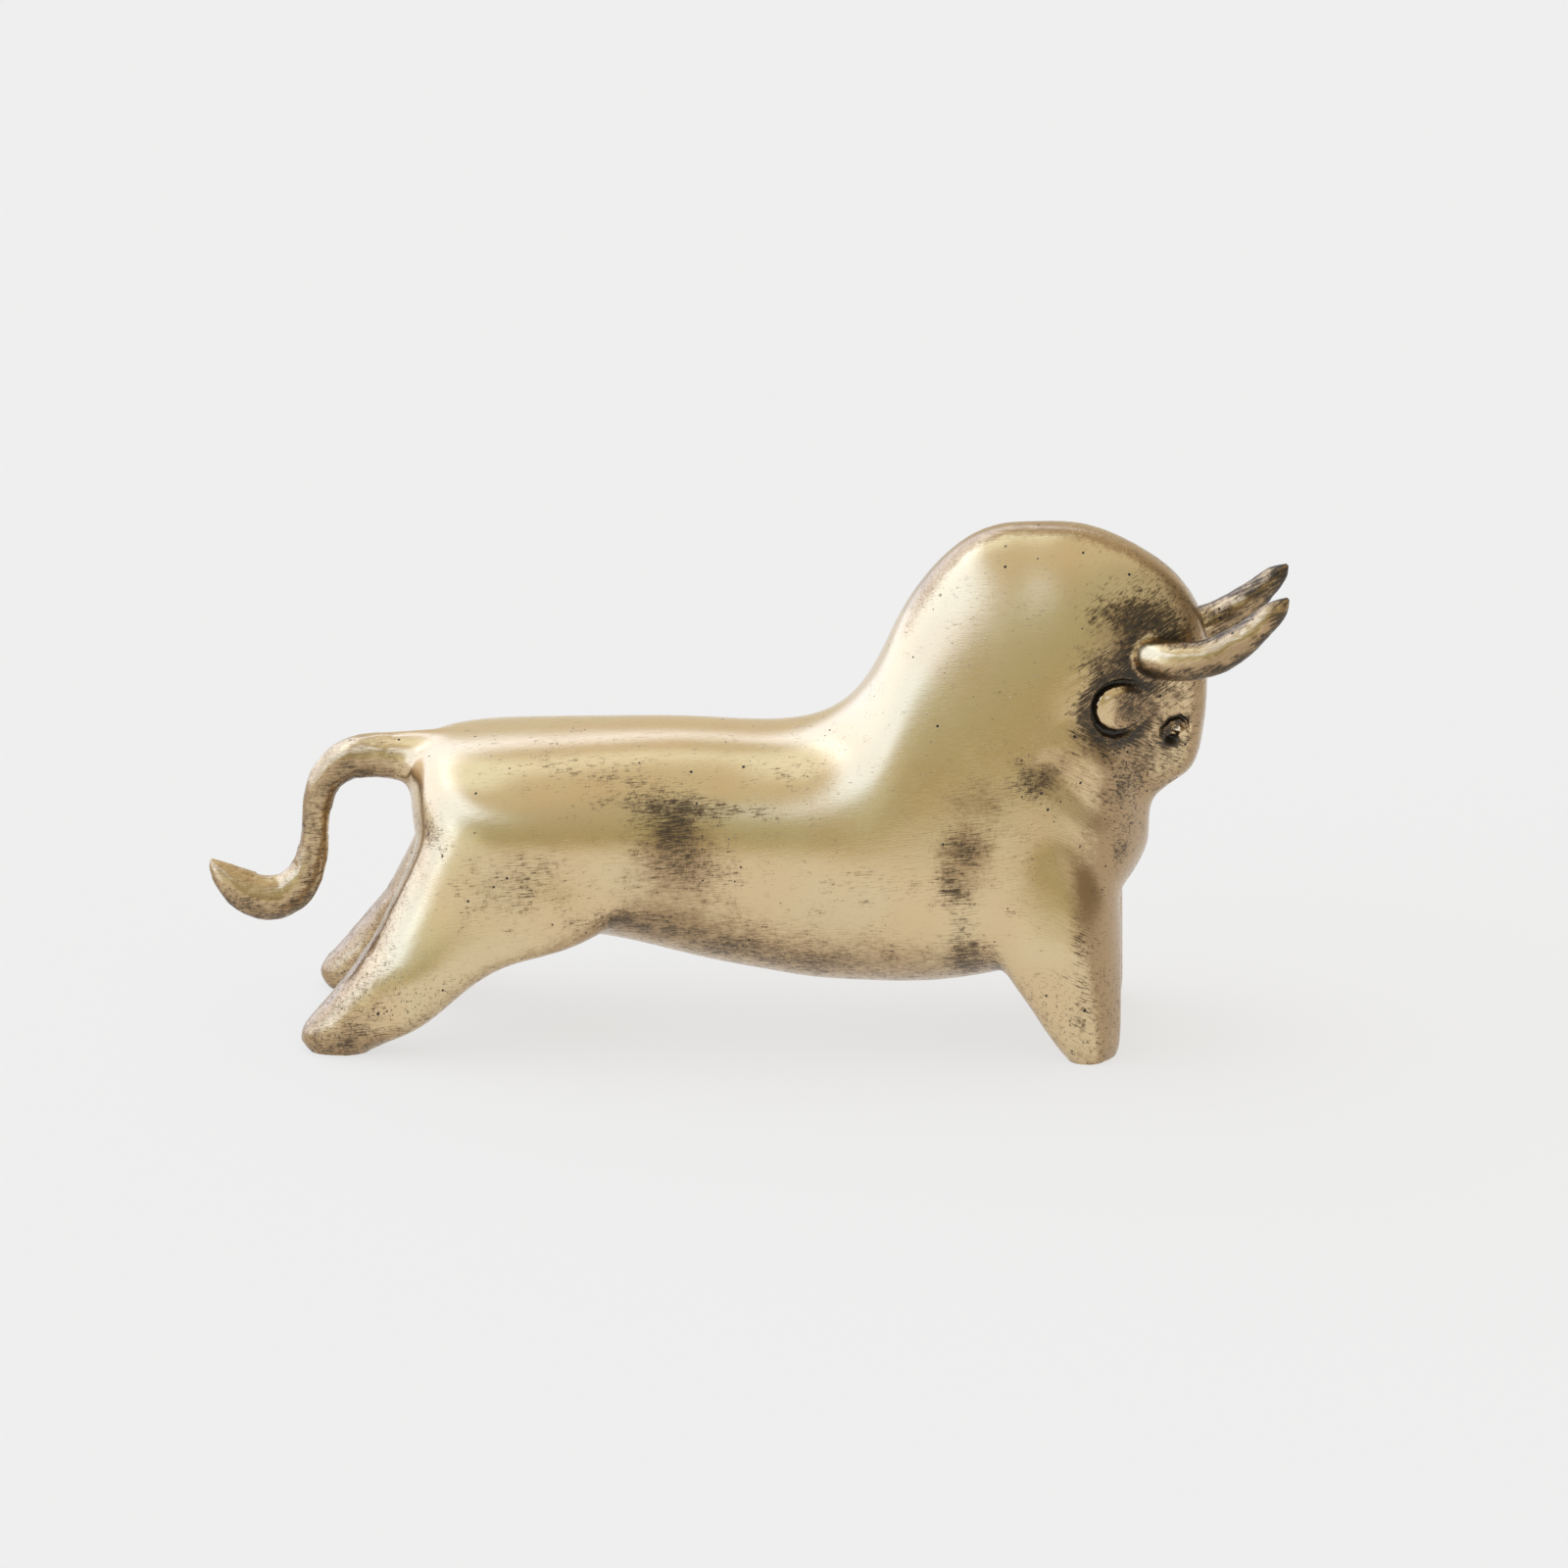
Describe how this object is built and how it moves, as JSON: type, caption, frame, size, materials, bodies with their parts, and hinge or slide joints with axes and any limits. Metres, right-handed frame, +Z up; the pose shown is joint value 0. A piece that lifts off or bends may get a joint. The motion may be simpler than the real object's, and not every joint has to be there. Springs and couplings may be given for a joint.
{
  "type": "bull sculpture",
  "caption": "Cast brass bull with a tall rounded hump, lowered head, forward horns, short spread legs and a hooked tail, standing on its flat soles.",
  "frame": {"origin": "middle of the bounding box at floor level, under the soles", "axes": "+X the way the bull faces, +Y to its left, +Z up"},
  "size_m": [0.3194, 0.0875, 0.1542],
  "materials": {
    "antique_brass": "satin, brushed by hand, with dark patina left in the hollows and in rubbed patches"
  },
  "bodies": {
    "root": {"bull": "antique_brass"}
  },
  "joints": []
}
